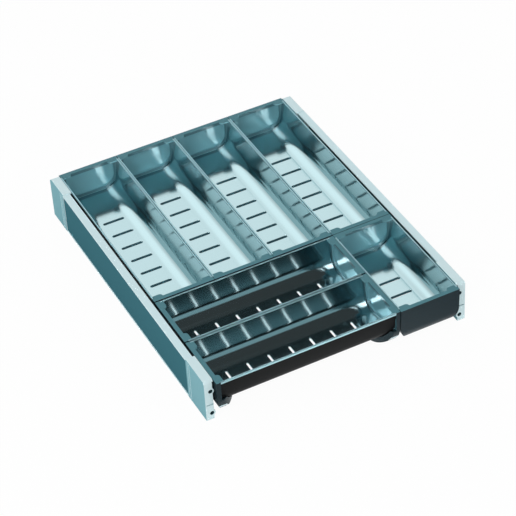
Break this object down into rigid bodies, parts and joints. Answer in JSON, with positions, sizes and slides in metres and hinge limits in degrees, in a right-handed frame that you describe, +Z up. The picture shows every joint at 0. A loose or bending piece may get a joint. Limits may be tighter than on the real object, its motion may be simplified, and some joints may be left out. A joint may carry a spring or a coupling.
{
  "type": "cutlery tray",
  "caption": "Drawer insert for cutlery: U-shaped steel trays with moulded end caps, held between side rails with corner pieces.",
  "frame": {"origin": "on the drawer floor, under the middle of the insert", "axes": "+X across the insert to the right, +Y from front to back, +Z up"},
  "size_m": [0.38, 0.49, 0.064],
  "materials": {
    "steel": "polished stainless steel sheet",
    "cap": "glossy moulded plastic",
    "rail": "satin anodised",
    "corner": "fine satin moulded plastic",
    "bar": "satin"
  },
  "bodies": {
    "frame": {"rail_left": "rail", "rail_right": "rail", "corner_front_left": "corner", "corner_front_right": "corner", "corner_rear_left": "corner", "corner_rear_right": "corner", "crossbar_front": "bar", "crossbar_wide_tray": "bar", "crossbar_middle": "bar", "crossbar_rear": "bar"},
    "long_tray_1": {"long_trough_1": "steel", "long_cap_front_1": "cap", "long_cap_rear_1": "cap"},
    "long_tray_2": {"long_trough_2": "steel", "long_cap_front_2": "cap", "long_cap_rear_2": "cap"},
    "long_tray_3": {"long_trough_3": "steel", "long_cap_front_3": "cap", "long_cap_rear_3": "cap"},
    "long_tray_4": {"long_trough_4": "steel", "long_cap_front_4": "cap", "long_cap_rear_4": "cap"},
    "wide_front_tray": {"wide_front_trough": "steel", "wide_front_cap_left": "cap", "wide_front_cap_right": "cap"},
    "wide_rear_tray": {"wide_rear_trough": "steel", "wide_rear_cap_left": "cap", "wide_rear_cap_right": "cap"},
    "small_tray": {"small_trough": "steel", "small_cap_front": "cap", "small_cap_rear": "cap"}
  },
  "joints": [
    {"name": "long_tray_1_lift", "type": "slide", "parent": "frame", "child": "long_tray_1", "axis": [0, 0, 1], "range_m": [0, 0.08]},
    {"name": "long_tray_2_lift", "type": "slide", "parent": "frame", "child": "long_tray_2", "axis": [0, 0, 1], "range_m": [0, 0.08]},
    {"name": "long_tray_3_lift", "type": "slide", "parent": "frame", "child": "long_tray_3", "axis": [0, 0, 1], "range_m": [0, 0.08]},
    {"name": "long_tray_4_lift", "type": "slide", "parent": "frame", "child": "long_tray_4", "axis": [0, 0, 1], "range_m": [0, 0.08]},
    {"name": "wide_front_tray_lift", "type": "slide", "parent": "frame", "child": "wide_front_tray", "axis": [0, 0, 1], "range_m": [0, 0.08]},
    {"name": "wide_rear_tray_lift", "type": "slide", "parent": "frame", "child": "wide_rear_tray", "axis": [0, 0, 1], "range_m": [0, 0.08]},
    {"name": "small_tray_lift", "type": "slide", "parent": "frame", "child": "small_tray", "axis": [0, 0, 1], "range_m": [0, 0.08]}
  ]
}
